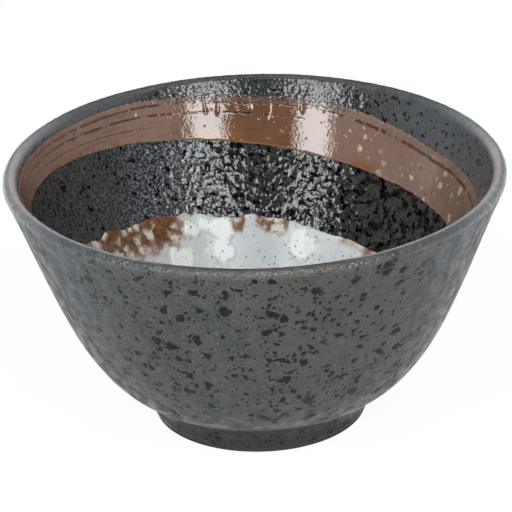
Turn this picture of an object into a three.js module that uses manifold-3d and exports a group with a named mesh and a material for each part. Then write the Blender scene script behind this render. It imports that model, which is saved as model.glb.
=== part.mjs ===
import * as THREE from 'three';
import { mergeVertices } from 'three/addons/utils/BufferGeometryUtils.js';
import Module from 'manifold-3d';

// Stoneware rice bowl on a turned foot ring. Millimetres, +Z up.
// The origin is the middle of the standing ring, and the bowl's axis is Z.

// Bowl
const RIM_DIAMETER = 160;
const BOWL_HEIGHT = 85;
const LIP_THICKNESS = 4.4;
const RIM_ANGLE = 66.3; // degrees from level, of the wall where it meets the lip
const RIM_REACH = 31; // how far the wall keeps the rim's direction
const BELLY_ANGLE = 16.5; // degrees from level, of the wall where it leaves the foot
const BELLY_REACH = 24; // how far the wall keeps the belly's direction
const WALL_AT_FOOT = 6.2;
const FLOOR_THICKNESS = 6;
const FLOOR_REACH = 10; // how far the floor keeps the belly's direction
const FLOOR_FLAT_RADIUS = 14;

// Foot ring
const FOOT_HEIGHT = 9.2;
const FOOT_DIAMETER = 69.5;
const FOOT_TOP_DIAMETER = 72.2;
const FOOT_RING_WIDTH = 6;
const FOOT_EDGE = 0.8; // chamfer on both edges of the standing face
const WELL_DEPTH = 6;
const WELL_DRAFT = 1.2; // how much narrower the well is at its top
const WELL_CORNER = 2.5; // rounding where the well's wall meets its roof
const WELL_DOME = 0.6; // the roof of the well rises a little to the middle

// Glazes
const COAT_THICKNESS = 0.5;
const FUSE_GAP = 0.05; // between a coat and what it is fused to
const BARE_RING_HEIGHT = 1.6; // clay left bare above the standing face
const LIP_OVERLAP = 1.5; // how far the outer coat runs down inside the lip
const BAND_THICKNESS = 0.25;
const WHITE_THICKNESS = 0.7;

// The band and the white glaze were laid with the bowl held askew, so their edges tilt about Y.
const BAND_BELOW_RIM = 7;
const BAND_WIDTH = 14.1;
const BAND_TOP_TILT = 5.2; // degrees
const BAND_BOTTOM_TILT = 7.8; // degrees
const DARK_ZONE_WIDTH = 23; // from the band down to the white glaze
const WHITE_EDGE_TILT = 7.1; // degrees

// Facets
const ROUND_SEGMENTS = 52;
const WALL_STEPS = 10;
const FLOOR_STEPS = 3;
const LIP_STEPS = 6;
const CORNER_STEPS = 2;

const wasm = await Module();
wasm.setup();

const point = (radius, height) => new THREE.Vector2(radius, height);
const heading = (degrees) => {
  const angle = THREE.MathUtils.degToRad(degrees);
  return point(Math.cos(angle), Math.sin(angle));
};
const along = (from, direction, distance) => from.clone().addScaledVector(direction, distance);

// The point of a straight side at a height.
const sideAt = (height, from, direction) => along(from, direction, (height - from.y) / direction.y);

// The left-hand normal of a direction.
const leftOf = (direction) => point(-direction.y, direction.x);

// Moves a profile to its left by one distance, or by one distance for each point.
function offset(profile, distance) {
  return profile.map((here, i) => {
    const before = profile[Math.max(i - 1, 0)];
    const after = profile[Math.min(i + 1, profile.length - 1)];
    const arriving = here.clone().sub(before).normalize();
    const leaving = after.clone().sub(here).normalize();
    const bisector = leftOf(arriving.clone().add(leaving).normalize());
    const side = leftOf(i > 0 ? arriving : leaving);
    const amount = Array.isArray(distance) ? distance[i] : distance;
    const moved = along(here, bisector, amount / bisector.dot(side));
    return here.x === 0 ? point(0, moved.y) : moved;
  });
}

function arc(centre, radius, startDegrees, endDegrees, steps) {
  return Array.from({ length: steps + 1 }, (_, i) =>
    along(centre, heading(THREE.MathUtils.lerp(startDegrees, endDegrees, i / steps)), radius));
}

const revolve = (profile) => new THREE.LatheGeometry(profile, ROUND_SEGMENTS).rotateX(Math.PI / 2);

// The outline of a coat between two distances to the left of a surface, the smaller one first.
// A surface that ends on the axis gives a dish, and one that doesn't gives a ring.
function coat(surface, near, far) {
  const profile = [...offset(surface, near), ...offset(surface, far).reverse()];
  const meetsAxis = surface.at(-1).x === 0;
  const turn = surface.length;
  return meetsAxis
    ? [...profile.slice(turn), ...profile.slice(0, turn)]
    : [...profile, profile[0].clone()];
}

// Finished outside: foot, wall and lip.
const footBottom = point(FOOT_DIAMETER / 2, 0);
const footTop = point(FOOT_TOP_DIAMETER / 2, FOOT_HEIGHT);
const footSide = footTop.clone().sub(footBottom).normalize();
const glazeLine = sideAt(BARE_RING_HEIGHT, footTop, footSide);

const lipRadius = LIP_THICKNESS / 2;
const lipCentre = point(RIM_DIAMETER / 2 - lipRadius, BOWL_HEIGHT - lipRadius);
const lip = arc(lipCentre, lipRadius, RIM_ANGLE - 90, RIM_ANGLE + 90, LIP_STEPS);

const wallCurve = new THREE.CubicBezierCurve(
  footTop,
  along(footTop, heading(BELLY_ANGLE), BELLY_REACH),
  along(lip[0], heading(RIM_ANGLE), -RIM_REACH),
  lip[0],
);
const wall = wallCurve.getPoints(WALL_STEPS);
const lipInside = lip.at(-1);
const downInside = heading(RIM_ANGLE).negate();
const coatEnd = along(lipInside, downInside, LIP_OVERLAP);
const outside = [glazeLine, ...wall, ...lip.slice(1), coatEnd];

// Finished inside: the wall thickens from the lip down to the foot, then runs out into the floor.
const wallThickness = wall.map((_, i) => THREE.MathUtils.lerp(WALL_AT_FOOT, LIP_THICKNESS, i / WALL_STEPS));
const innerWall = offset(wall, wallThickness).slice(0, WALL_STEPS).reverse();
const innerBase = innerWall.at(-1);
const floorHeight = WELL_DEPTH + FLOOR_THICKNESS;
const floorCurve = new THREE.CubicBezierCurve(
  innerBase,
  along(innerBase, heading(BELLY_ANGLE), -FLOOR_REACH),
  point(FLOOR_FLAT_RADIUS, floorHeight),
  point(0, floorHeight),
);
const inside = [
  along(coatEnd, downInside, FUSE_GAP),
  ...innerWall,
  ...floorCurve.getPoints(FLOOR_STEPS).slice(1),
];

// Finished well under the foot, from the bare ring in to the axis.
const wellMouth = FOOT_DIAMETER / 2 - FOOT_RING_WIDTH;
const wellSide = point(-WELL_DRAFT, WELL_DEPTH).normalize();
const wellGlazeLine = sideAt(BARE_RING_HEIGHT, point(wellMouth, 0), wellSide);
const wellCornerCentre = point(wellMouth - WELL_DRAFT - WELL_CORNER, WELL_DEPTH - WELL_CORNER);
const wellCorner = arc(wellCornerCentre, WELL_CORNER, 0, 90, CORNER_STEPS);
const well = [wellGlazeLine, ...wellCorner, point(0, WELL_DEPTH + WELL_DOME)];

// Clay: the same surfaces, set in by a coat and its gap, with the bare standing ring between them.
const clayDepth = COAT_THICKNESS + FUSE_GAP;
const clayWell = offset(well, -clayDepth);
const claySkin = offset([...outside, ...inside], clayDepth);
const ringInner = sideAt(FOOT_EDGE, clayWell[0], wellSide);
const ringOuter = sideAt(FOOT_EDGE, claySkin[0], footSide);
const clay = [
  ...clayWell.reverse(),
  ringInner,
  point(ringInner.x + FOOT_EDGE, 0),
  point(ringOuter.x - FOOT_EDGE, 0),
  ringOuter,
  ...claySkin,
];

// Solids for the boolean cuts, and back.
function toSolid(geometry) {
  const bare = geometry.clone();
  bare.deleteAttribute('normal');
  bare.deleteAttribute('uv');
  const merged = mergeVertices(bare);
  return new wasm.Manifold(new wasm.Mesh({
    numProp: 3,
    vertProperties: merged.attributes.position.array,
    triVerts: new Uint32Array(merged.index.array),
  }));
}

function toGeometry(solid) {
  const mesh = solid.getMesh();
  const geometry = new THREE.BufferGeometry();
  geometry.setAttribute('position', new THREE.BufferAttribute(mesh.vertProperties, 3));
  geometry.setIndex(new THREE.BufferAttribute(mesh.triVerts, 1));
  geometry.computeVertexNormals();
  return geometry;
}

// Everything below a plane that crosses the axis at a height and tilts about Y.
function below(height, tilt) {
  const size = 2 * (RIM_DIAMETER + BOWL_HEIGHT); // well past the bowl on every side
  return toSolid(new THREE.BoxGeometry(size, size, size)
    .translate(0, 0, -size / 2)
    .rotateY(THREE.MathUtils.degToRad(tilt))
    .translate(0, 0, height));
}

// Brown band and white glaze: coats on the finished inside, cut off along tilted planes.
const bandTop = BOWL_HEIGHT - BAND_BELOW_RIM;
const bandBottom = bandTop - BAND_WIDTH;
const whiteEdge = bandBottom - DARK_ZONE_WIDTH;

const bandCoat = toSolid(revolve(coat(inside, -FUSE_GAP - BAND_THICKNESS, -FUSE_GAP)));
const band = bandCoat
  .intersect(below(bandTop, BAND_TOP_TILT))
  .subtract(below(bandBottom, BAND_BOTTOM_TILT));

const whiteCoat = toSolid(revolve(coat(inside, -FUSE_GAP - WHITE_THICKNESS, -FUSE_GAP)));
const white = whiteCoat.intersect(below(whiteEdge, WHITE_EDGE_TILT));

const bowl = new THREE.Group();
function addPiece(name, geometry, color, roughness) {
  const material = new THREE.MeshStandardMaterial({ color, roughness, metalness: 0 });
  const piece = new THREE.Mesh(geometry, material);
  piece.name = name;
  bowl.add(piece);
}

addPiece('stoneware_body', revolve(clay), 0x6b5d50, 0.85);
addPiece('outer_glaze', revolve(coat(outside, 0, COAT_THICKNESS)), 0x606264, 0.35);
addPiece('inner_glaze', revolve(coat(inside, 0, COAT_THICKNESS)), 0x1c1f20, 0.2);
addPiece('brown_band', toGeometry(band), 0x80533f, 0.3);
addPiece('white_floor_glaze', toGeometry(white), 0xd9dfe2, 0.2);
addPiece('foot_well_glaze', revolve(coat(well, -COAT_THICKNESS, 0)), 0x565655, 0.4);

export default bowl;
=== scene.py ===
import math

import bpy
import numpy as np
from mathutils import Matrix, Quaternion, Vector, noise


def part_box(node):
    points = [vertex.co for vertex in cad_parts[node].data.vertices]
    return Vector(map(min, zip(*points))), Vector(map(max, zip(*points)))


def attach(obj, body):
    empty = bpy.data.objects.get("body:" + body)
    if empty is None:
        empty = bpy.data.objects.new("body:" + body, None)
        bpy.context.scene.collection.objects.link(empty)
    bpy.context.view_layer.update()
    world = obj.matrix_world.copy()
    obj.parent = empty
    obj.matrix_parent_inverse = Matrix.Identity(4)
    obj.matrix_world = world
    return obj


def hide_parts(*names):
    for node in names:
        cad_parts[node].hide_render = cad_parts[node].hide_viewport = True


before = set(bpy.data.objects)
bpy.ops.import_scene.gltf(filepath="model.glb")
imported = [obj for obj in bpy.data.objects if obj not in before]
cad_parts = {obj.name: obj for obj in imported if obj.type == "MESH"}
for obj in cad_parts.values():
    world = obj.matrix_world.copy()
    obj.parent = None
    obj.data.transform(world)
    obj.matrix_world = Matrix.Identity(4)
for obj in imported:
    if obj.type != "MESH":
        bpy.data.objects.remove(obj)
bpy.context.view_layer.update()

# Clay body. One piece of dark stoneware, thrown on the wheel: wall, lip, floor and foot ring.
# The glazes hide it, apart from the standing ring, which was wiped clean of glaze and turned
# flat, so that the bowl doesn't stick to the kiln shelf.
MM = 0.001
RIM_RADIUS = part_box("outer_glaze")[1].x
BOWL_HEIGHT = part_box("outer_glaze")[1].z
LIP_RADIUS = 2.2 * MM
RIM_ANGLE = math.radians(66.3)
RIM_REACH = 31 * MM
BELLY_ANGLE = math.radians(16.5)
BELLY_REACH = 24 * MM
WALL_AT_FOOT = 6.2 * MM
FLOOR_HEIGHT = 12 * MM
FLOOR_REACH = 10 * MM
FLOOR_FLAT = 14 * MM
FOOT_TOP = np.array([36.1, 9.2]) * MM
FOOT_BOTTOM = np.array([34.75, 0]) * MM
WELL_MOUTH = np.array([28.75, 0]) * MM
WELL_TOP = np.array([27.55, 6]) * MM
WELL_CORNER = 2.5 * MM
WELL_DOME = 0.6 * MM
BARE_RING = 1.6 * MM
RING_EDGE = 0.8 * MM
LIP_OVERLAP = 1.5 * MM
COAT = 0.5 * MM
FUSE_GAP = 0.05 * MM
CLAY_TURNS = 240
CLAY_STEP = 1.2 * MM


def heading(angle):
    return np.array([math.cos(angle), math.sin(angle)])


def bezier(start, leaving, arriving, end, count=240):
    t = np.linspace(0, 1, count)[:, None]
    s = 1 - t
    return s**3 * start + 3 * s * s * t * leaving + 3 * s * t * t * arriving + t**3 * end


def arc(centre, radius, first, last, count=60):
    angles = np.linspace(first, last, count)
    return centre + radius * np.c_[np.cos(angles), np.sin(angles)]


def lengths(outline):
    """How far along the outline each of its points lies."""
    return np.r_[0, np.cumsum(np.hypot(*np.diff(outline, axis=0).T))]


def spaced(outline, step):
    """The same outline, in points about a step apart."""
    far = lengths(outline)
    places = np.linspace(0, far[-1], round(far[-1] / step) + 1)
    return np.c_[np.interp(places, far, outline[:, 0]), np.interp(places, far, outline[:, 1])]


def lefts(outline):
    """The outline's normals, on the left of the way that it runs."""
    along = np.gradient(outline, axis=0)
    along /= np.hypot(*along.T)[:, None]
    return np.c_[-along[:, 1], along[:, 0]]


def shifted(outline, distance):
    """The outline moved to its left. A point on the axis stays on it."""
    moved = outline + lefts(outline) * np.reshape(distance, (-1, 1))
    moved[outline[:, 0] < 1e-9, 0] = 0
    return moved


def round_angles(turns):
    return np.linspace(0, 2 * math.pi, turns, endpoint=False)


def spun(outline, turns):
    """Rows of points round the axis, one row for each point of the outline."""
    angles = round_angles(turns)
    rows = np.empty((len(outline), turns, 3))
    rows[..., 0] = outline[:, :1] * np.cos(angles)
    rows[..., 1] = outline[:, :1] * np.sin(angles)
    rows[..., 2] = outline[:, 1:]
    return rows


def sealed(name, front, back=None):
    """One closed mesh from the rows that show and the rows behind them, in a loop with the solid on
    its left. A row on the axis is one point. Its flat map has a strip for each quarter turn."""
    rows = front if back is None else np.concatenate([front, back])
    count, turns = rows.shape[:2]
    single = [bool(np.abs(row[:, :2]).max() < 1e-7) for row in rows]
    starts, points = [], []
    for row, alone in zip(rows, single):
        starts.append(len(points))
        points.extend(row[:1] if alone else row)
    loop = np.concatenate([rows, rows[:1]])[:, 0]
    steps = np.linalg.norm(np.diff(loop, axis=0), axis=1)
    steps[len(front):] *= 0.05
    tall = np.r_[0, np.cumsum(steps)] / steps.sum()
    faces, flat = [], []
    for i in range(count):
        k = (i + 1) % count
        if single[i] and single[k]:
            continue
        for j in range(turns):
            n = (j + 1) % turns
            quarter = 4 * j // turns
            x0, y0 = quarter % 2, quarter // 2
            left, right = 4 * j / turns - quarter, 4 * (j + 1) / turns - quarter
            low, high = tall[i], tall[i + 1]
            corner = [(left, low), (right, low), (right, high), (left, high)]
            face = [starts[i] + j, starts[i] + n, starts[k] + n, starts[k] + j]
            if single[i]:
                corner, face = corner[1:], [starts[i]] + face[2:]
            elif single[k]:
                corner, face = corner[:3], face[:2] + [starts[k]]
            faces.append(face)
            flat.extend(((x + x0) / 2, (y + y0) / 2) for x, y in corner)
    mesh = bpy.data.meshes.new(name)
    mesh.from_pydata(points, [], faces)
    mesh.uv_layers.new(name="OFBake").data.foreach_set("uv", np.ravel(flat))
    mesh.polygons.foreach_set("use_smooth", [True] * len(faces))
    mesh.set_sharp_from_angle(angle=math.radians(65))
    return mesh


def in_place(name, mesh, finish):
    mesh.materials.append(finish.material)
    piece = bpy.data.objects.new(name, mesh)
    bpy.context.scene.collection.objects.link(piece)
    return piece


def colour(red, green, blue):
    """A colour as the eye reads it, from 0 to 255."""
    shares = [v / 255 for v in (red, green, blue)]
    return [v / 12.92 if v <= 0.04045 else ((v + 0.055) / 1.055) ** 2.4 for v in shares] + [1]


class Finish:
    """A material, and the few moves that its patterns are made of. Sizes are in metres."""

    def __init__(self, name, specular):
        self.material = bpy.data.materials.new(name)
        self.material.use_nodes = True
        self.tree = self.material.node_tree
        self.shader = self.tree.nodes["Principled BSDF"]
        self.shader.inputs["Specular IOR Level"].default_value = specular
        self.place = self.node("TexCoord").outputs["Object"]
        self.x, self.y, self.z = self.node("SeparateXYZ", {0: self.place}).outputs
        self.reach = self.node("VectorMath", {0: self.stretched(1, 1, 0)}, operation="LENGTH").outputs[1]

    def feed(self, socket, value):
        if isinstance(value, bpy.types.NodeSocket):
            self.tree.links.new(value, socket)
        else:
            socket.default_value = value

    def node(self, kind, inputs=(), **settings):
        made = self.tree.nodes.new("ShaderNode" + kind)
        for key, value in settings.items():
            setattr(made, key, value)
        for key, value in dict(inputs).items():
            self.feed(made.inputs[key], value)
        return made

    def wear(self, socket, value):
        self.feed(self.shader.inputs[socket], value)

    def maths(self, operation, *values):
        return self.node("Math", enumerate(values), operation=operation).outputs[0]

    def above(self, height, slope):
        """How far a place lies over a level that tilts about Y."""
        return self.maths("SUBTRACT", self.maths("MULTIPLY_ADD", self.x, slope, self.z), height)

    def between(self, value, low, high, start=0.0, end=1.0):
        """Goes smoothly from start, where the value is low, to end, where it is high."""
        inputs = {"Value": value, "From Min": low, "From Max": high, "To Min": start, "To Max": end}
        return self.node("MapRange", inputs, interpolation_type="SMOOTHSTEP").outputs[0]

    def mix(self, first, second, share):
        return self.node("Mix", {"Factor": share, 6: first, 7: second}, data_type="RGBA").outputs[2]

    def stretched(self, x, y, z):
        return self.node("VectorMath", {0: self.place, 1: (x, y, z)}, operation="MULTIPLY").outputs[0]

    def cloud(self, size, detail=2.0, rough=0.5, place=None):
        inputs = {"Vector": place or self.place, "Scale": 1 / size, "Detail": detail, "Roughness": rough}
        return self.node("TexNoise", inputs).outputs["Fac"]

    def shaken(self, size, amount):
        """Places pushed about by a cloud, which makes spots ragged."""
        cloud = self.node("TexNoise", {"Vector": self.place, "Scale": 1 / size, "Detail": 2.0})
        middle = self.node("VectorMath", {0: cloud.outputs["Color"], 1: (0.5,) * 3}, operation="SUBTRACT")
        push = self.node("VectorMath", {0: middle.outputs[0], "Scale": amount}, operation="SCALE")
        return self.node("VectorMath", {0: self.place, 1: push.outputs[0]}).outputs[0]

    def cells(self, spacing, place):
        return self.node("TexVoronoi", {"Vector": place, "Scale": 1 / spacing}).outputs

    def chance(self, cell):
        return self.node("SeparateColor", {0: cell["Color"]}).outputs[1]

    def specks(self, spacing, least, most, share, place, soft=0.03):
        """Round spots from least to most in radius, in a share of the cells of a random grid."""
        cell = self.cells(spacing, place)
        chance = self.chance(cell)
        radius = self.between(chance, 1 - share, 1, least / spacing, most / spacing)
        inwards = self.maths("SUBTRACT", radius, cell["Distance"])
        lucky = self.maths("GREATER_THAN", chance, 1 - share)
        return self.maths("MULTIPLY", self.between(inwards, -soft, soft), lucky)

    def shards(self, spacing, share, place):
        """A share of the cells of a random grid, which have straight sides and soft edges."""
        crowd = self.maths("MULTIPLY", self.cloud(24 * MM), 2 * share)
        chance = self.maths("ADD", self.chance(self.cells(spacing, place)), crowd)
        grid = {"Vector": place, "Scale": 1 / spacing}
        to_edge = self.node("TexVoronoi", grid, feature="DISTANCE_TO_EDGE").outputs["Distance"]
        inwards = self.between(to_edge, 0.0, 0.12)
        return self.maths("MULTIPLY", self.maths("GREATER_THAN", chance, 1.0), inwards)

    def grain(self, height, depth):
        """A bump whose height, from 0 to 1, stands for a depth."""
        bumped = self.node("Bump", {"Height": height, "Distance": depth}).outputs[0]
        self.wear("Normal", bumped)
        self.wear("Coat Normal", bumped)


lip_centre = np.array([RIM_RADIUS - LIP_RADIUS, BOWL_HEIGHT - LIP_RADIUS])
lip = arc(lip_centre, LIP_RADIUS, RIM_ANGLE - math.pi / 2, RIM_ANGLE + math.pi / 2)
wall = bezier(
    FOOT_TOP,
    FOOT_TOP + BELLY_REACH * heading(BELLY_ANGLE),
    lip[0] - RIM_REACH * heading(RIM_ANGLE),
    lip[0],
)
glaze_line = FOOT_BOTTOM + (FOOT_TOP - FOOT_BOTTOM) * BARE_RING / FOOT_TOP[1]
coat_end = lip[-1] - LIP_OVERLAP * heading(RIM_ANGLE)
outside = np.vstack([np.linspace(glaze_line, FOOT_TOP, 12)[:-1], wall, lip[1:], coat_end])

inner_wall = shifted(wall, np.linspace(WALL_AT_FOOT, 2 * LIP_RADIUS, len(wall)))[::-1]
inner_base = inner_wall[-1]
floor = bezier(
    inner_base,
    inner_base - FLOOR_REACH * heading(BELLY_ANGLE),
    np.array([FLOOR_FLAT, FLOOR_HEIGHT]),
    np.array([0, FLOOR_HEIGHT]),
)
below_seam = inner_wall[:, 1] < coat_end[1] - MM
inside = np.vstack([coat_end, inner_wall[below_seam], floor[1:]])

well_line = WELL_MOUTH + (WELL_TOP - WELL_MOUTH) * BARE_RING / WELL_TOP[1]
well_corner = arc(WELL_TOP - WELL_CORNER, WELL_CORNER, 0, math.pi / 2, 20)
well = np.vstack([well_line, well_corner, [0, WELL_TOP[1] + WELL_DOME]])

clay_depth = COAT + FUSE_GAP
clay_well = spaced(shifted(well, -clay_depth), CLAY_STEP)[::-1]
clay_skin = spaced(shifted(np.vstack([outside, inside[1:]]), clay_depth), CLAY_STEP)
ring_in = np.array([clay_well[-1, 0] + RING_EDGE, RING_EDGE])
ring_out = np.array([clay_skin[0, 0] - RING_EDGE, RING_EDGE])
ring_inner_edge = arc(ring_in, RING_EDGE, math.pi, 1.5 * math.pi, 6)
ring_outer_edge = arc(ring_out, RING_EDGE, 1.5 * math.pi, 2 * math.pi, 6)
ring_face = np.linspace(ring_inner_edge[-1], ring_outer_edge[0], 6)[1:-1]
clay_outline = np.vstack([clay_well, ring_inner_edge, ring_face, ring_outer_edge, clay_skin])

clay = Finish("bare_clay", specular=0.3)
clay_tone = clay.mix(colour(62, 57, 52), colour(88, 79, 70), clay.cloud(6 * MM, detail=3.0))
clay_sand = clay.specks(1.6 * MM, 0.15 * MM, 0.4 * MM, 0.5, clay.shaken(0.8 * MM, 0.3 * MM))
clay.wear("Base Color", clay.mix(clay_tone, colour(38, 34, 31), clay_sand))
clay_grit = clay.cloud(0.5 * MM, detail=4.0)
clay.wear("Roughness", clay.between(clay_grit, 0.3, 0.7, 0.75, 0.95))
clay.grain(clay_grit, 0.1 * MM)

clay_body = in_place("clay_body", sealed("clay_body", spun(clay_outline, CLAY_TURNS)), clay)
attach(clay_body, "root")
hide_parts("stoneware_body")

# Grey outer glaze. A thick satin glaze on the whole outside, over the lip and a little way in, where
# it is wet and wrinkled. It set with a fine pebbled skin, drawn out into streaks over the lip, and iron
# in the clay bled through it as black shards. It ends in an even roll just above the standing ring.
OUTER_TURNS = 720
OUTER_STEP = MM
LIP_STEP = 0.4 * MM
LIP_STRETCH = 10 * MM
OUTER_PEBBLE = 2.1 * MM
OUTER_RELIEF = 0.11 * MM
OUTER_WAVE = 0.12 * MM
LIP_STREAK = 0.05 * MM
WRINKLE = 1.2 * MM
WRINKLE_RELIEF = 0.17 * MM
BACK_STEP = 9 * MM


def soft_step(value, low, high):
    t = np.clip((value - low) / (high - low), 0, 1)
    return t * t * (3 - 2 * t)


def all_round(places, turns):
    return np.repeat(np.reshape(places, (-1, 1)), turns, axis=1)


def laid(outline, places, heights=0.0):
    """Rows of points on a spun outline. Places are lengths along it, and heights stand off its right."""
    far, side = lengths(outline), -lefts(outline)
    radius = np.interp(places, far, outline[:, 0]) + heights * np.interp(places, far, side[:, 0])
    level = np.interp(places, far, outline[:, 1]) + heights * np.interp(places, far, side[:, 1])
    if outline[-1, 0] == 0:
        radius = np.where(places > far[-1] - 1e-9, 0, radius)
    angles = round_angles(places.shape[1])
    return np.stack([radius * np.cos(angles), radius * np.sin(angles), level], axis=-1)


def ring(radius, turns):
    angles = round_angles(turns)
    return radius * np.stack([np.cos(angles), np.sin(angles), 0 * angles], axis=-1)


noise.seed_set(4)  # the warp of the pebbles' grid starts from this


def pebbles(points, size):
    """A dome over each cell of a warped random grid, from 0 in the creases to about 1 on top."""
    domes = []
    for x, y, z in (points / size).reshape(-1, 3):
        spot = Vector((x, y, z))
        near, cores = noise.voronoi(spot + 0.35 * noise.noise_vector(0.9 * spot))
        domes.append((0.8 + 0.5 * noise.noise(7 * cores[0])) * (1 - min(near[0] / 0.75, 1) ** 2))
    return np.reshape(domes, points.shape[:-1])


def waves(points, size):
    """Soft swells from -1 to 1."""
    spots = (points / size).reshape(-1, 3)
    return np.reshape([noise.noise(spot) for spot in spots], points.shape[:-1])


def wrinkles(points):
    return WRINKLE_RELIEF * (pebbles(points, WRINKLE) - 0.5)


outer_far = lengths(outside)[-1]
lip_from = outer_far - LIP_STRETCH
wall_steps = np.linspace(0, lip_from, round(lip_from / OUTER_STEP), endpoint=False)
lip_steps = np.linspace(lip_from, outer_far, round(LIP_STRETCH / LIP_STEP))
outer_places = all_round(np.r_[wall_steps, lip_steps], OUTER_TURNS)
outer_points = laid(outside, outer_places)
near_lip = soft_step(outer_points[..., 2], BOWL_HEIGHT - 4 * MM, BOWL_HEIGHT - 1.5 * MM)
outer_heights = OUTER_RELIEF * (pebbles(outer_points, OUTER_PEBBLE) - 0.5)
outer_heights += OUTER_WAVE * waves(outer_points, 22 * MM)
outer_heights += LIP_STREAK * near_lip * waves(ring(RIM_RADIUS, OUTER_TURNS), 1.3 * MM)
far_lip = soft_step(np.sin(round_angles(OUTER_TURNS)), 0.75, 0.92)
inside_lip = soft_step(outer_places + 1.4 * MM * far_lip, outer_far - 1.7 * MM, outer_far - 0.8 * MM)
outer_heights += inside_lip * (wrinkles(outer_points) - outer_heights)
roll = arc(glaze_line + np.array([-COAT, COAT]), COAT, -math.pi / 2, -0.3, 5)
outer_front = np.concatenate([spun(roll, OUTER_TURNS), laid(outside, outer_places, outer_heights)[1:]])
outer_back = spun(spaced(shifted(outside, COAT), BACK_STEP)[::-1], OUTER_TURNS)


def lip_share(finish):
    return finish.between(finish.z, BOWL_HEIGHT - 2.8 * MM, BOWL_HEIGHT - 0.8 * MM)


def grey_ground(finish):
    """The grey glaze's colour: mottled and finely crackled, with a pale streaked sheen painted onto the
    lip's two sides.
    """
    mottle = finish.cloud(6 * MM, detail=5.0, rough=0.65)
    grey = finish.mix(colour(58, 60, 61), colour(88, 89, 88), mottle)
    teal = finish.between(finish.cloud(11 * MM, detail=3.0), 0.5, 0.68, 0, 0.6)
    grey = finish.mix(grey, colour(50, 60, 63), teal)
    net = {"Vector": finish.shaken(1.5 * MM, 1.1 * MM), "Scale": 1 / (1.6 * MM)}
    to_edge = finish.node("TexVoronoi", net, feature="DISTANCE_TO_EDGE").outputs["Distance"]
    grey = finish.mix(grey, colour(124, 126, 126), finish.between(to_edge, 0.0, 0.07, 0.45, 0))
    way_round = finish.node("VectorMath", {0: finish.stretched(1, 1, 0)}, operation="NORMALIZE").outputs[0]
    streaks = finish.cloud(0.9 * MM / RIM_RADIUS, detail=3.0, rough=0.6, place=way_round)
    # Painted sheen: pale streaks on the lip towards the bowl's two sides, where it turns away from the
    # eye.
    pale_sheen = finish.mix(colour(70, 71, 73), colour(230, 229, 229), streaks)
    sheen_share = finish.between(finish.maths("ABSOLUTE", finish.x), 58 * MM, 77 * MM, 0, 0.95)
    return finish.mix(grey, pale_sheen, finish.maths("MULTIPLY", lip_share(finish), sheen_share))


def with_iron(finish, ground, large, middling, fine, at_sides):
    """A ground with iron shards in three sizes, fainter on the lip and, as painted sheen, at the bowl's
    two sides.
    """
    ragged = finish.shaken(1.5 * MM, 1.1 * MM)
    iron = finish.shards(3.1 * MM, large, ragged)
    iron = finish.maths("MAXIMUM", iron, finish.shards(1.8 * MM, middling, ragged))
    iron = finish.maths("MAXIMUM", iron, finish.shards(MM, fine, ragged))
    iron = finish.maths("MULTIPLY", iron, finish.between(lip_share(finish), 0, 1, 0.97, 0.25))
    aside = finish.maths("ABSOLUTE", finish.x)
    # Painted sheen: the shards fade towards the bowl's two sides.
    iron = finish.maths("MULTIPLY", iron, finish.between(aside, 38 * MM, 66 * MM, 1, at_sides))
    iron_tone = finish.mix(colour(10, 11, 14), colour(16, 27, 29), finish.cloud(9 * MM))
    return finish.mix(ground, iron_tone, iron)


outer = Finish("grey_stoneware_glaze", specular=0.16)
# The outside goes darker and browner towards the foot.
towards_foot = outer.between(outer.z, 8 * MM, 11 * MM, 0.55, 0)
outside_tone = grey_ground(outer)
# Painted sheen: a bluish cast towards the bowl's two sides, where the glaze catches the white room at a
# slant.
side_sheen = outer.between(outer.maths("ABSOLUTE", outer.x), 25 * MM, 70 * MM, 0, 0.5)
outside_tone = outer.mix(outside_tone, colour(104, 112, 119), side_sheen)
warm = outer.maths("MULTIPLY", outer.between(outer.x, -10 * MM, 15 * MM),
                   outer.between(outer.x, 35 * MM, 60 * MM, 0.35, 0))
outside_tone = outer.mix(outside_tone, colour(88, 83, 77), warm)
# Painted highlight: a thin pale line along the lip's inner top edge on the near half, kept off the front.
inner_edge = outer.maths("MULTIPLY", outer.between(outer.reach, 77.5 * MM, 78.5 * MM, 1, 0),
                         outer.between(outer.z, 83.5 * MM, 84.3 * MM))
inner_edge = outer.maths("MULTIPLY", inner_edge, outer.between(outer.y, 0, 30 * MM, 0.8, 0))
away_from_front = outer.between(outer.maths("ABSOLUTE", outer.x), 20 * MM, 40 * MM)
inner_edge = outer.maths("MULTIPLY", inner_edge, away_from_front)
outside_tone = outer.mix(outside_tone, colour(186, 181, 178), inner_edge)
on_far_lip = outer.between(outer.y, 0.75 * RIM_RADIUS, 0.92 * RIM_RADIUS)
wet_line = outer.maths("MULTIPLY_ADD", on_far_lip, -1.2 * MM, outer.z)
wet = outer.maths("MULTIPLY", outer.between(outer.z, 80 * MM, 82 * MM),
                  outer.between(wet_line, 82.8 * MM, 83.5 * MM, 1, 0))
wet = outer.maths("MULTIPLY", wet, outer.between(outer.reach, 76 * MM, 77.2 * MM, 1, 0))
wet_and_far = outer.maths("MULTIPLY", wet, on_far_lip)
outside_tone = outer.mix(outside_tone, colour(30, 34, 37), outer.maths("MULTIPLY", wet_and_far, 0.65))
outside_tone = with_iron(outer, outside_tone, large=0.06, middling=0.09, fine=0.07, at_sides=0.35)
outer.wear("Base Color", outer.mix(outside_tone, colour(44, 42, 39), towards_foot))
satin = outer.between(outer.cloud(4.5 * MM, detail=4.0), 0.35, 0.65, 0.26, 0.56)
shoulder = outer.maths("MULTIPLY", outer.between(outer.reach, 78.6 * MM, 79.1 * MM),
                       outer.between(outer.z, 82 * MM, 83 * MM))
glossy = outer.maths("MAXIMUM", wet, shoulder)
gloss = outer.node("Mix", {"Factor": glossy, 2: satin, 3: 0.12}).outputs[0]
outer.wear("Roughness", gloss)
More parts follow.
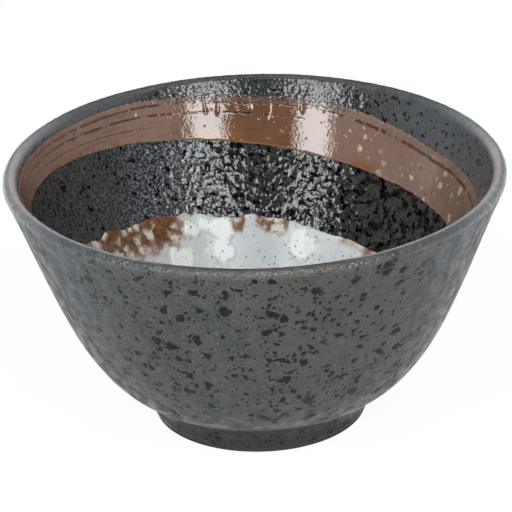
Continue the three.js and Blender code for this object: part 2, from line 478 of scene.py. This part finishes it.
outer.wear("Coat Weight", outer.maths("MULTIPLY", glossy, 0.8))
outer.wear("Coat Roughness", 0.1)
outer_cells = outer.cells(1.3 * MM, outer.shaken(1.5 * MM, MM))["Distance"]
skin = outer.maths("SUBTRACT", outer.cloud(0.8 * MM, detail=3.0), outer_cells)
outer.grain(outer.maths("MULTIPLY", skin, outer.between(shoulder, 0, 1, 1, 3)), 0.09 * MM)

outer_glaze = in_place("grey_outer_glaze", sealed("grey_outer_glaze", outer_front, outer_back), outer)
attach(outer_glaze, "root")
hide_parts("outer_glaze")

# Dark inner glaze. The coat that lines the whole inside: grey like the outside under the lip,
# then glossy black and strongly pebbled down to the white glaze. The brown band hides the change.
# Where it was thick at the lip, it ran down in thin drips.
INNER_TURNS = 880
STRIP_ROWS = 24
DARK_ROWS = 64
INNER_PEBBLE = 2.2 * MM
INNER_RELIEF = 0.32 * MM
BAND_TOP = BOWL_HEIGHT - 7 * MM
BAND_TOP_SLOPE = math.tan(math.radians(5.2))
BAND_BOTTOM = BAND_TOP - 14.1 * MM
BAND_BOTTOM_SLOPE = math.tan(math.radians(7.8))
WHITE_EDGE = BAND_BOTTOM - 23 * MM
WHITE_EDGE_SLOPE = math.tan(math.radians(7.1))
LEAST_STRIP = 0.4 * MM
UNDER_WHITE = 3 * MM
HIDDEN_STEP = 6.5 * MM
DRIP_WIDTH = 0.5 * MM
DRIP_HEIGHT = 0.14 * MM
# Each drip: where it lies round the bowl, in degrees, and how far it ran.
DRIPS = (
    (103, 8.5 * MM),
    (99.5, 9 * MM),
    (91, 8.5 * MM),
    (85, 12 * MM),
    (76.5, 9 * MM),
    (61, 5.5 * MM),
    (122, 6 * MM),
    (20, 6 * MM),
    (214, 8 * MM),
    (248, 6.5 * MM),
    (281, 9 * MM),
    (327, 7 * MM),
)

# How far the brush rose above its tilted line, at each place round the bowl in degrees.
BRUSH_RISES = (
    (20, 0),
    (32, -0.9 * MM),
    (48, 0.4 * MM),
    (62, 1.9 * MM),
    (70, 2.3 * MM),
    (90, 1.35 * MM),
    (114, 0.6 * MM),
    (140, 0),
)

inside_far = lengths(inside)


def line_round(height, slope, turns):
    """How far down the inside a tilted level line lies, at each turn."""
    rise = inside[:, 1:] + slope * inside[:, :1] * np.cos(round_angles(turns)) - height
    places = [np.interp(0, rise[::-1, j], inside_far[::-1]) for j in range(turns)]
    return np.maximum(places, LEAST_STRIP)


def brush_line(turns):
    """The brown band's upper edge before it tore. The brush ran higher on the far side."""
    degrees, rises = zip(*BRUSH_RISES)
    rise = np.interp(np.degrees(round_angles(turns)), degrees, rises)
    return np.maximum(line_round(BAND_TOP, BAND_TOP_SLOPE, turns) - rise, LEAST_STRIP)


def slip_top(turns):
    """The brown band's ragged upper edge."""
    torn_share = 0.2 + 0.9 * soft_step(np.abs(np.sin(round_angles(turns))), 0.6, 0.9)
    rags = 0.5 * waves(ring(70 * MM, turns), 7 * MM) + torn_share * waves(ring(71 * MM, turns), 1.3 * MM)
    return np.maximum(brush_line(turns) + MM * rags, LEAST_STRIP)


def slip_bottom(turns):
    """The brown band's lower edge, which is nearly clean."""
    rags = 0.35 * waves(ring(72 * MM, turns), 9 * MM) + 0.25 * waves(ring(73 * MM, turns), 2.4 * MM)
    return line_round(BAND_BOTTOM, BAND_BOTTOM_SLOPE, turns) + MM * rags


def white_top(turns):
    """The white glaze's lumpy edge."""
    lumps = 1.2 * waves(ring(52 * MM, turns), 8 * MM) + 0.9 * waves(ring(53 * MM, turns), 2.6 * MM)
    return line_round(WHITE_EDGE, WHITE_EDGE_SLOPE, turns) + MM * lumps


def spread(first, last, rows):
    return first + (last - first) * np.linspace(0, 1, rows)[:, None]


def drips(places):
    """How far the drips stand up: thin trails that end in a round drop."""
    angles = round_angles(places.shape[1])
    heights = np.zeros_like(places)
    for azimuth, length in DRIPS:
        sway = 0.3 * MM * np.sin(places / (1.7 * MM) + azimuth)
        aside = (np.angle(np.exp(1j * (angles - math.radians(azimuth)))) * RIM_RADIUS + sway) / DRIP_WIDTH
        short = (length - places) / DRIP_WIDTH
        drop = np.clip(1 - np.abs(aside / 1.7) ** 3 - np.abs((short - 2) / 2.6) ** 3, 0, 1)
        trail = np.clip(1 - aside**4, 0, 1) * np.clip(short / 2, 0, 1)
        heights = np.maximum(heights, DRIP_HEIGHT * np.maximum(1.5 * np.sqrt(drop), 0.8 * trail))
    return heights * soft_step(places, 0, 2 * MM)


top, bottom, white_start = slip_top(INNER_TURNS), slip_bottom(INNER_TURNS), white_top(INNER_TURNS)
inner_end = inside_far[-1]
strip_places = spread(0 * top, top, STRIP_ROWS)
slip_places = spread(top, bottom, 5)[1:-1]
dark_places = spread(bottom, white_start + UNDER_WHITE, DARK_ROWS)
floor_places = spread(white_start + UNDER_WHITE, inner_end + 0 * top, round(60 * MM / HIDDEN_STEP))[1:]

strip_fade = soft_step(top - strip_places, 0.1 * MM, 0.8 * MM)
dark_fade = soft_step(dark_places - bottom, 0.1 * MM, 1.2 * MM)
dark_fade *= soft_step(white_start - dark_places, 0.05 * MM, 0.9 * MM)
strip_points, dark_points = laid(inside, strip_places), laid(inside, dark_places)
strip_heights = wrinkles(strip_points) * strip_fade
strip_heights += drips(strip_places) * soft_step(top - strip_places, 0, 0.5 * MM)
dark_heights = INNER_RELIEF * (pebbles(dark_points, INNER_PEBBLE) - 0.5) * dark_fade
inner_front = np.concatenate([
    laid(inside, strip_places, strip_heights),
    laid(inside, slip_places),
    laid(inside, dark_places, dark_heights),
    laid(inside, floor_places),
])
inner_back = spun(spaced(shifted(inside, COAT), BACK_STEP)[::-1], INNER_TURNS)

dark = Finish("black_stoneware_glaze", specular=0.65)
black = dark.mix(colour(24, 25, 25), colour(50, 50, 48), dark.cloud(5 * MM, detail=4.0))
bluish = dark.between(dark.cloud(26 * MM), 0.42, 0.6, 0, 0.5)
black = dark.mix(black, colour(36, 42, 48), bluish)
black = dark.mix(black, colour(58, 58, 54), dark.between(dark.x, 15 * MM, 40 * MM, 0, 0.7))
aside = dark.maths("ABSOLUTE", dark.x)
# Painted glints: fine bluish-grey flecks of light over the left of the black, for its tiny pebbles
# catching the room.
painted_glints = dark.between(dark.cloud(0.8 * MM, detail=2.0), 0.42, 0.66, 0, 0.8)
left_part = dark.maths("MULTIPLY", dark.between(dark.x, -50 * MM, -34 * MM, 0.35, 1),
                       dark.between(dark.x, -24 * MM, -12 * MM, 1, 0.1))
painted_glints = dark.maths("MULTIPLY", painted_glints, left_part)
black = dark.mix(black, colour(126, 130, 136), painted_glints)
# Painted shade: the pits, and on the right the clefts, are near-black and matt, for the shade deep in
# them.
fewer = dark.between(dark.x, -30 * MM, -8 * MM, 0.055, 0)
pits = dark.maths("ADD", dark.cloud(2.2 * MM, detail=3.0, rough=0.6), fewer)
pits = dark.between(pits, 0.4, 0.48, 1, 0)
matt_part = dark.between(dark.x, 20 * MM, 40 * MM)
shaded_clefts = dark.between(dark.cloud(3.2 * MM, detail=4.0, rough=0.6), 0.38, 0.56, 0.8, 0)
pits = dark.maths("MAXIMUM", pits, dark.maths("MULTIPLY", shaded_clefts, matt_part))
black = dark.mix(black, colour(3, 3, 4), pits)
strip_dark = dark.between(aside, 25 * MM, 55 * MM, 0.6, 0)
strip = dark.mix(grey_ground(dark), colour(30, 34, 37), strip_dark)
strip = dark.mix(strip, colour(98, 104, 110), dark.between(dark.x, 35 * MM, 70 * MM, 0, 0.6))
strip = with_iron(dark, strip, large=0.0, middling=0.02, fine=0.13, at_sides=0.9)
under_lip = dark.between(dark.above(BAND_TOP, BAND_TOP_SLOPE), -7 * MM, -4 * MM)
dark.wear("Base Color", dark.mix(black, strip, under_lip))
dark_cells = dark.cells(1.1 * MM, dark.shaken(MM, MM))["Distance"]
domes = dark.maths("MULTIPLY", dark_cells, dark_cells)
dark_grain = dark.maths("MULTIPLY_ADD", dark.cloud(0.6 * MM), 0.5, domes)
dark_gloss = dark.maths("MULTIPLY_ADD", dark_grain, 0.1, dark.between(aside, 30 * MM, 55 * MM, 0.05, 0.2))
in_pits = dark.maths("SUBTRACT", pits, under_lip)
dark.wear("Roughness", dark.maths("ADD", dark_gloss, dark.between(in_pits, 0.1, 0.9, 0, 0.1)))
dark.wear("Specular IOR Level", dark.between(in_pits, 0.1, 0.9, 0.65, 0.04))
dark.grain(dark_grain, -0.08 * MM)

inner_glaze = in_place("dark_inner_glaze", sealed("dark_inner_glaze", inner_front, inner_back), dark)
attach(inner_glaze, "root")
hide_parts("inner_glaze")

# Brown band. An iron-brown slip brushed round under the lip on the turning wheel, over the dark glaze.
# The bowl sat askew, so the band tilts. Its upper edge is torn, dark lines run along it where bristles
# lifted the slip, and it fired to a smooth gloss with small pits and, on the right, pale blisters.
BAND_TURNS = 1200
BAND_ROWS = 44
BAND_THICKNESS = 0.25 * MM
BAND_ROUNDING = 0.04

slip_start, slip_end = slip_top(BAND_TURNS), slip_bottom(BAND_TURNS)
down = 0.5 - 0.5 * np.cos(np.linspace(0, math.pi, BAND_ROWS))[:, None]
band_places = slip_start + (slip_end - slip_start) * down
from_edges = np.minimum(down, 1 - down) / BAND_ROUNDING
band_heights = BAND_THICKNESS * np.sqrt(1 - np.clip(1 - from_edges, 0, 1) ** 2)
band_heights = band_heights * (1 + 0.12 * waves(laid(inside, band_places), 5 * MM))
band_heights += FUSE_GAP + drips(band_places)
band_front = laid(inside, band_places, band_heights)
band_back = laid(inside, spread(slip_end, slip_start, 6), FUSE_GAP / 2)


def marked(mesh, name, shares):
    """Keeps a share at each point of a mesh's front for its finish to read."""
    values = np.zeros(len(mesh.vertices))
    values[: shares.size] = shares.ravel()
    mesh.attributes.new(name, "FLOAT", "POINT").data.foreach_set("value", values)


lowest = line_round(BAND_BOTTOM, BAND_BOTTOM_SLOPE, BAND_TURNS)
band_mesh = sealed("brown_slip_band", band_front, band_back)
marked(band_mesh, "across", (lowest - band_places) / (lowest - brush_line(BAND_TURNS)))

slip = Finish("iron_brown_slip", specular=0.85)
across = slip.node("Attribute", attribute_name="across").outputs["Fac"]
strokes = slip.cloud(1.2 * MM, detail=3.0, place=slip.stretched(0.06, 0.06, 1))
patches = slip.cloud(9 * MM, detail=4.0)
brown = slip.mix(colour(98, 66, 46), colour(120, 86, 66), patches)
aside = slip.maths("ABSOLUTE", slip.x)
# Painted reflection: the band is paler and pinker towards its two sides, for the room's haze in its gloss.
rosy_haze = slip.mix(colour(122, 95, 85), colour(148, 123, 112), slip.cloud(4 * MM, detail=5.0, rough=0.65))
brown = slip.mix(brown, rosy_haze, slip.between(aside, 14 * MM, 34 * MM, 0, 0.9))
on_right = slip.between(slip.x, 18 * MM, 40 * MM)
stroke_share = slip.maths("MULTIPLY", slip.between(strokes, 0.52, 0.75),
                          slip.between(on_right, 0, 1, 0.5, 0.1))
brown = slip.mix(brown, colour(84, 58, 46), stroke_share)
brown = slip.mix(brown, colour(150, 112, 84), slip.between(across, 0.0, 0.07, 0.7, 0))
gold = slip.maths("MULTIPLY", slip.between(across, 0.05, 0.35, 1, 0), slip.between(patches, 0.5, 0.62))
brown = slip.mix(brown, colour(126, 86, 46), slip.maths("MULTIPLY", gold, 0.8))
bubbly = slip.shaken(1.1 * MM, 1.9 * MM)
bubbles = slip.maths("MULTIPLY", on_right, slip.between(across, 0.76, 0.86, 1, 0.3))
bubbles = slip.maths("MULTIPLY", bubbles, slip.between(slip.cloud(13 * MM), 0.4, 0.5, 0.35, 1))
blisters = slip.specks(4.2 * MM, 0.4 * MM, 1.2 * MM, 0.75, bubbly, soft=0.1)
small_blisters = slip.specks(2.3 * MM, 0.15 * MM, 0.5 * MM, 0.45, bubbly, soft=0.12)
blisters = slip.maths("MULTIPLY", slip.maths("MAXIMUM", blisters, small_blisters), bubbles)
brown = slip.mix(brown, colour(214, 194, 178), slip.maths("MULTIPLY", blisters, 0.85))
cores = slip.maths("MULTIPLY", slip.specks(4.2 * MM, 0.1 * MM, 0.45 * MM, 0.7, bubbly, soft=0.06), bubbles)
brown = slip.mix(brown, colour(112, 84, 68), slip.maths("MULTIPLY", cores, 0.75))
wander = slip.maths("MULTIPLY_ADD", strokes, 0.06, across)
wander = slip.maths("MULTIPLY_ADD", slip.cloud(1.4 * MM, detail=3.0), 0.06, wander)
line_tone = slip.mix(colour(86, 69, 61), colour(60, 52, 48), slip.between(slip.x, -45 * MM, -15 * MM))
line_tone = slip.mix(line_tone, colour(90, 76, 69), on_right)
pits = slip.specks(2.2 * MM, 0.14 * MM, 0.45 * MM, 0.45, slip.shaken(MM, 0.6 * MM), soft=0.09)
upper_left = slip.maths("MULTIPLY", slip.between(across, 0.4, 0.7),
                        slip.between(slip.x, -8 * MM, 2 * MM, 1, 0))
small_pits = slip.specks(1.5 * MM, 0.15 * MM, 0.45 * MM, 0.7, slip.shaken(0.8 * MM, 0.8 * MM), soft=0.14)
pits = slip.maths("MAXIMUM", pits, slip.maths("MULTIPLY", small_pits, upper_left))
hollows = pits
unbroken = slip.between(aside, 24 * MM, 40 * MM, 0, 0.14)
unbroken = slip.maths("ADD", unbroken, slip.between(aside, 8 * MM, 12 * MM, 0, -0.05))
faint = slip.between(slip.x, -74 * MM, -58 * MM, 0.35, 1)
broad = slip.between(slip.x, -50 * MM, -20 * MM, 1.3, 1)
broad = slip.maths("ADD", broad, slip.between(on_right, 0, 1, 0, 0.5))
for level, reach, ends in ((0.83, 0.026, 100 * MM), (0.61, 0.027, 8 * MM), (0.33, 0.012, -45 * MM)):
    off = slip.maths("ABSOLUTE", slip.maths("SUBTRACT", wander, level + 0.06))
    line = slip.between(slip.maths("DIVIDE", off, broad), 0, reach * 1.3, 1, 0)
    dashes = slip.between(slip.maths("ADD", slip.cloud(2.6 * MM, detail=3.0), unbroken), 0.44, 0.54)
    groove = slip.maths("MULTIPLY", slip.maths("MULTIPLY", line, dashes), faint)
    groove = slip.maths("MULTIPLY", groove, slip.between(slip.x, ends, ends + 20 * MM, 1, 0))
    brown = slip.mix(brown, line_tone, groove)
    hollows = slip.maths("MAXIMUM", hollows, groove)
torn = slip.maths("MULTIPLY_ADD", slip.cloud(MM, detail=4.0, rough=0.7), 0.8, across)
torn = slip.maths("ADD", torn, slip.between(aside, 25 * MM, 50 * MM, 0, -0.3))
torn_share = slip.between(torn, 1.28, 1.36)
brown = slip.mix(brown, colour(48, 49, 50), slip.maths("MULTIPLY", torn_share, 0.85))
# Painted shade: the pits and dark lines are darkened half way to near-black, as shade in these hollows.
slip.wear("Base Color", slip.mix(brown, colour(30, 26, 25), slip.maths("MULTIPLY", hollows, 0.5)))
slip_grain = slip.cloud(1.5 * MM, detail=3.0)
slip_gloss = slip.between(slip_grain, 0.3, 0.7, 0.04, 0.1)
slip.wear("Roughness", slip.maths("MULTIPLY_ADD", pits, 0.25, slip_gloss))
slip_relief = slip.maths("MULTIPLY_ADD", blisters, 2.0, slip_grain)
slip_relief = slip.maths("MULTIPLY_ADD", slip.cloud(0.7 * MM), 0.6, slip_relief)
hollows = slip.maths("MAXIMUM", hollows, torn_share)
slip.grain(slip.maths("MULTIPLY_ADD", hollows, -1.8, slip_relief), 0.05 * MM)

brown_band = in_place("brown_slip_band", band_mesh, slip)
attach(brown_band, "root")
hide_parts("brown_band")

# White floor glaze. A thick, glossy white glaze poured into the bottom over the dark one.
# Its edge is lumpy, and where it ran thin the iron below breaks through between white beads.
# Pinholes have left small black dots all over it.
WHITE_TURNS = 512
WHITE_STEP = 0.55 * MM
WHITE_THICKNESS = 0.7 * MM
WHITE_ROLL = 2.5 * MM
WHITE_WAVE = 0.3
# Each lump of thick white: where it lies round the bowl, in degrees, how far below the edge, its radius.
LUMPS = (
    (102.3, 4 * MM, 4.8 * MM),
    (102.8, 11.5 * MM, 5 * MM),
    (73.4, 7 * MM, 5.8 * MM),
    (108, 3.5 * MM, 2.6 * MM),
    (113, 5 * MM, 3 * MM),
    (119, 15 * MM, 4.5 * MM),
    (30, 9 * MM, 4.5 * MM),
    (350, 5 * MM, 4 * MM),
    (232, 6 * MM, 4.8 * MM),
    (285, 5 * MM, 4.2 * MM),
    (288, 12 * MM, 4.6 * MM),
)
LUMP_HEIGHT = 0.45 * MM
# Each brown patch: where it lies round the bowl and how far it reaches to each side, in degrees,
# how deep it comes down from the edge, and how strong it is.
BROWN_PATCHES = (
    (136, 28, 13 * MM, 1),
    (96.5, 3.5, 6 * MM, 1),
    (84, 7.5, 6 * MM, 1),
    (48, 16, 3.5 * MM, 0.45),
    (22, 8, 4 * MM, 1),
    (205, 16, 8 * MM, 1),
    (252, 9, 6 * MM, 1),
    (318, 18, 8 * MM, 1),
)

white_first = white_top(WHITE_TURNS)
white_far = inner_end - white_first
white_rows = round(white_far.max() / WHITE_STEP)
white_places = white_first + white_far * np.linspace(0, 1, white_rows)[:, None] ** 1.15
white_points = laid(inside, white_places)
below_edge = white_places - white_first
white_heights = WHITE_THICKNESS * np.sqrt(1 - (1 - np.clip(below_edge / WHITE_ROLL, 0, 1)) ** 2)
white_heights = FUSE_GAP + white_heights * (1 + WHITE_WAVE * waves(white_points, 8 * MM))
white_radius = np.hypot(white_points[..., 0], white_points[..., 1])
thick_share = np.zeros_like(white_places)
for azimuth, depth, size in LUMPS:
    off = np.angle(np.exp(1j * (round_angles(WHITE_TURNS) - math.radians(azimuth)))) * white_radius
    away = np.hypot(off, below_edge - depth) / size
    away += 0.3 * waves(white_points, 4 * MM) + 0.16 * waves(white_points, 1.8 * MM)
    thick_share = np.maximum(thick_share, 1 - soft_step(away, 0.75, 1.08))
white_heights += LUMP_HEIGHT * thick_share
white_heights[-1] = white_heights[-1].mean()
white_front = laid(inside, white_places, white_heights)
white_back = laid(inside, spread(inner_end + 0 * white_first, white_first, 14), FUSE_GAP / 2)

thin_share = np.zeros_like(white_places)
for azimuth, reach, depth, strength in BROWN_PATCHES:
    off = np.degrees(np.angle(np.exp(1j * (round_angles(WHITE_TURNS) - math.radians(azimuth)))))
    patch = np.clip(2 - 2 * np.abs(off) / reach, 0, 1) * np.clip(1.3 - below_edge / depth, 0, 1) * strength
    thin_share = np.maximum(thin_share, patch)

white_mesh = sealed("white_glaze_pool", white_front, white_back)
marked(white_mesh, "thin", thin_share[:-1])
marked(white_mesh, "thick", thick_share[:-1])

white = Finish("poured_white_glaze", specular=0.3)
thin = white.node("Attribute", attribute_name="thin").outputs["Fac"]
thick = white.node("Attribute", attribute_name="thick").outputs["Fac"]
milk = white.mix(colour(178, 185, 190), colour(202, 206, 206), white.cloud(7 * MM, detail=4.0))
# Painted light: the white is lighter towards the right side of the bowl.
milk = white.mix(milk, colour(216, 219, 219), white.between(white.x, 5 * MM, 40 * MM, 0, 0.9))
# Painted shade: grey-olive mottles scattered over the white, for the shade between its lumps.
olive_shade = white.between(white.cloud(3.6 * MM, detail=4.0, rough=0.6), 0.56, 0.68, 0, 0.6)
milk = white.mix(milk, colour(158, 155, 140), olive_shade)
patchy = white.maths("MULTIPLY_ADD", white.cloud(3.4 * MM, detail=3.0), 0.9, thin)
mauve = white.mix(colour(142, 108, 100), colour(190, 172, 160), white.cloud(2.4 * MM))
milk = white.mix(milk, mauve, white.between(patchy, 0.66, 1.0, 0, 0.9))
beads = white.specks(4.2 * MM, 1.1 * MM, 2.4 * MM, 0.8, white.shaken(1.8 * MM, 3 * MM), soft=0.24)
iron_share = white.between(patchy, 0.8, 1.15)
iron_brown = white.mix(colour(74, 46, 26), colour(124, 86, 56), white.cloud(1.6 * MM, detail=3.0))
rosy_share = white.between(white.cloud(3 * MM, detail=2.0), 0.48, 0.62, 0, 0.7)
iron_brown = white.mix(iron_brown, colour(126, 92, 84), rosy_share)
milk = white.mix(milk, iron_brown, iron_share)
creamy = white.maths("MULTIPLY", beads, white.between(thin, 0.2, 0.7, 0, 0.9))
milk = white.mix(milk, colour(208, 206, 194), creamy)
milk = white.mix(milk, colour(220, 224, 222), thick)
pinholes = white.specks(1.4 * MM, 0.1 * MM, 0.34 * MM, 0.6, white.shaken(MM, 0.4 * MM))
white.wear("Base Color", white.mix(milk, colour(40, 38, 36), white.maths("MULTIPLY", pinholes, 0.85)))
white_grain = white.cloud(1.6 * MM)
white.wear("Roughness", white.between(white_grain, 0.3, 0.7, 0.22, 0.36))
white.grain(white.maths("MULTIPLY_ADD", pinholes, -1.0, white_grain), 0.04 * MM)

white_glaze = in_place("white_glaze_pool", white_mesh, white)
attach(white_glaze, "root")
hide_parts("white_floor_glaze")

# Foot-well glaze. The thin grey coat in the recess that was turned out under the foot.
# It went on in the same dip as the outside, and it stops where the standing ring was wiped.
WELL_TURNS = 240
WELL_STEP = 0.8 * MM
WELL_RELIEF = 0.06 * MM

well_far = lengths(well)[-1]
well_places = all_round(np.linspace(0, well_far, round(well_far / WELL_STEP)), WELL_TURNS)
well_heights = WELL_RELIEF * (0.5 - pebbles(laid(well, well_places), OUTER_PEBBLE))
well_heights *= soft_step(well_far - well_places, 0, 3 * MM)
well_front = laid(well, well_places, well_heights)[::-1]
well_back = spun(spaced(shifted(well, -COAT), 4 * MM), WELL_TURNS)

foot = Finish("foot_well_glaze", specular=0.28)
foot_tone = with_iron(foot, grey_ground(foot), large=0.06, middling=0.09, fine=0.07, at_sides=1.0)
foot.wear("Base Color", foot.mix(foot_tone, colour(66, 62, 57), foot.cloud(12 * MM, detail=3.0)))
foot_grain = foot.cloud(0.9 * MM, detail=3.0)
foot.wear("Roughness", foot.between(foot_grain, 0.3, 0.7, 0.32, 0.5))
foot.grain(foot_grain, 0.1 * MM)

foot_well = in_place("foot_well_coat", sealed("foot_well_coat", well_front, well_back), foot)
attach(foot_well, "root")
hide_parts("foot_well_glaze")

# Table and room. A wide white sheet to stand on, in a white room with soft light from all round.
# The eye sees both as plain white, and the glazes see the room dimmer on the viewer's side.
TABLE_HALF = 2.5
TABLE_WHITENESS = 0.92
ROOM_LIGHT = 0.34

table_mesh = bpy.data.meshes.new("table")
corners = [(-1, -1), (1, -1), (1, 1), (-1, 1)]
table_mesh.from_pydata([(x * TABLE_HALF, y * TABLE_HALF, 0) for x, y in corners], [], [(0, 1, 2, 3)])
paper = Finish("white_table", specular=0.0)
paper.wear("Base Color", colour(236, 236, 236))
paper.wear("Roughness", 0.9)
rays = paper.node("LightPath").outputs
looked_at = paper.maths("MAXIMUM", rays["Is Camera Ray"], rays["Is Glossy Ray"])
looked_at = paper.maths("MAXIMUM", looked_at, rays["Is Transmission Ray"])
shine = paper.node("Emission", {"Color": (1, 1, 1, 1), "Strength": 1.04})
share = paper.maths("MULTIPLY", looked_at, TABLE_WHITENESS)
blend = paper.node("MixShader", {0: share, 1: paper.shader.outputs[0], 2: shine.outputs[0]})
paper.feed(paper.tree.nodes["Material Output"].inputs["Surface"], blend.outputs[0])
table = in_place("table", table_mesh, paper)

world = bpy.data.worlds.new("white_room")
bpy.context.scene.world = world
world.use_nodes = True
sky = world.node_tree
backdrop = sky.nodes["Background"]
ray = sky.nodes.new("ShaderNodeLightPath")
direction = sky.nodes.new("ShaderNodeTexCoord")
split = sky.nodes.new("ShaderNodeSeparateXYZ")
sky.links.new(direction.outputs["Generated"], split.inputs[0])
far_side = sky.nodes.new("ShaderNodeMapRange")
far_side.inputs["From Min"].default_value = -0.4
far_side.inputs["From Max"].default_value = 0.8
far_side.inputs["To Min"].default_value = 0.08
far_side.inputs["To Max"].default_value = 0.95
sky.links.new(split.outputs[1], far_side.inputs["Value"])
right_side = sky.nodes.new("ShaderNodeMapRange")
right_side.inputs["From Min"].default_value = 0.5
right_side.inputs["From Max"].default_value = 0.9
right_side.inputs["To Max"].default_value = 1.6
sky.links.new(split.outputs[0], right_side.inputs["Value"])
both_sides = sky.nodes.new("ShaderNodeMath")
sky.links.new(far_side.outputs[0], both_sides.inputs[0])
sky.links.new(right_side.outputs[0], both_sides.inputs[1])
mirrored = sky.nodes.new("ShaderNodeMix")
sky.links.new(ray.outputs["Is Glossy Ray"], mirrored.inputs["Factor"])
mirrored.inputs["A"].default_value = ROOM_LIGHT
sky.links.new(both_sides.outputs[0], mirrored.inputs["B"])
seen_white = sky.nodes.new("ShaderNodeMath")
seen_white.operation = "MAXIMUM"
sky.links.new(mirrored.outputs[0], seen_white.inputs[0])
sky.links.new(ray.outputs["Is Camera Ray"], seen_white.inputs[1])
sky.links.new(seen_white.outputs[0], backdrop.inputs["Strength"])

# Soft lamps. Two tall ones stand to the left and right of the viewer, and a wide one hangs over the bowl.
# Each has its way round from the viewer and up, in degrees, its distance, its size and its power.
LAMPS = (
    ("left_softbox", -33.7, 34, 1.4, (0.44, 1.1), 12.0),
    ("right_softbox", 25.7, 34, 1.4, (0.455, 1.1), 12.4),
    ("top_softbox", 180, 83, 1.2, (1.2, 0.9), 4.5),
)

for name, aside, rise, distance, size, power in LAMPS:
    light = bpy.data.lights.new(name, "AREA")
    light.shape = "RECTANGLE"
    light.size, light.size_y = size
    light.energy = power
    lamp = bpy.data.objects.new(name, light)
    bpy.context.scene.collection.objects.link(lamp)
    turn, up = math.radians(aside), math.radians(rise)
    level = math.cos(up)
    towards = Vector((math.sin(turn) * level, -math.cos(turn) * level, math.sin(up)))
    lamp.location = Vector((0, 0, BOWL_HEIGHT)) + distance * towards
    lamp.rotation_euler = (-towards).to_track_quat("-Z", "Y").to_euler()

# The viewer stands about a metre off, looking down into the bowl with a long lens.
EYE = Vector((0, -0.93845, 0.48822))
AIM = Vector((-0.000284, 0, 0.05317))
EYE_TILT = math.radians(-1.537)
LENS = 226.19

camera = bpy.data.objects.new("camera", bpy.data.cameras.new("camera"))
bpy.context.scene.collection.objects.link(camera)
camera.data.lens = LENS
camera.data.sensor_width = 36
camera.location = EYE
level_view = (AIM - EYE).to_track_quat("-Z", "Y")
camera.rotation_euler = (level_view @ Quaternion((0, 0, 1), EYE_TILT)).to_euler()
bpy.context.scene.camera = camera
bpy.context.scene.view_settings.view_transform = "Standard"
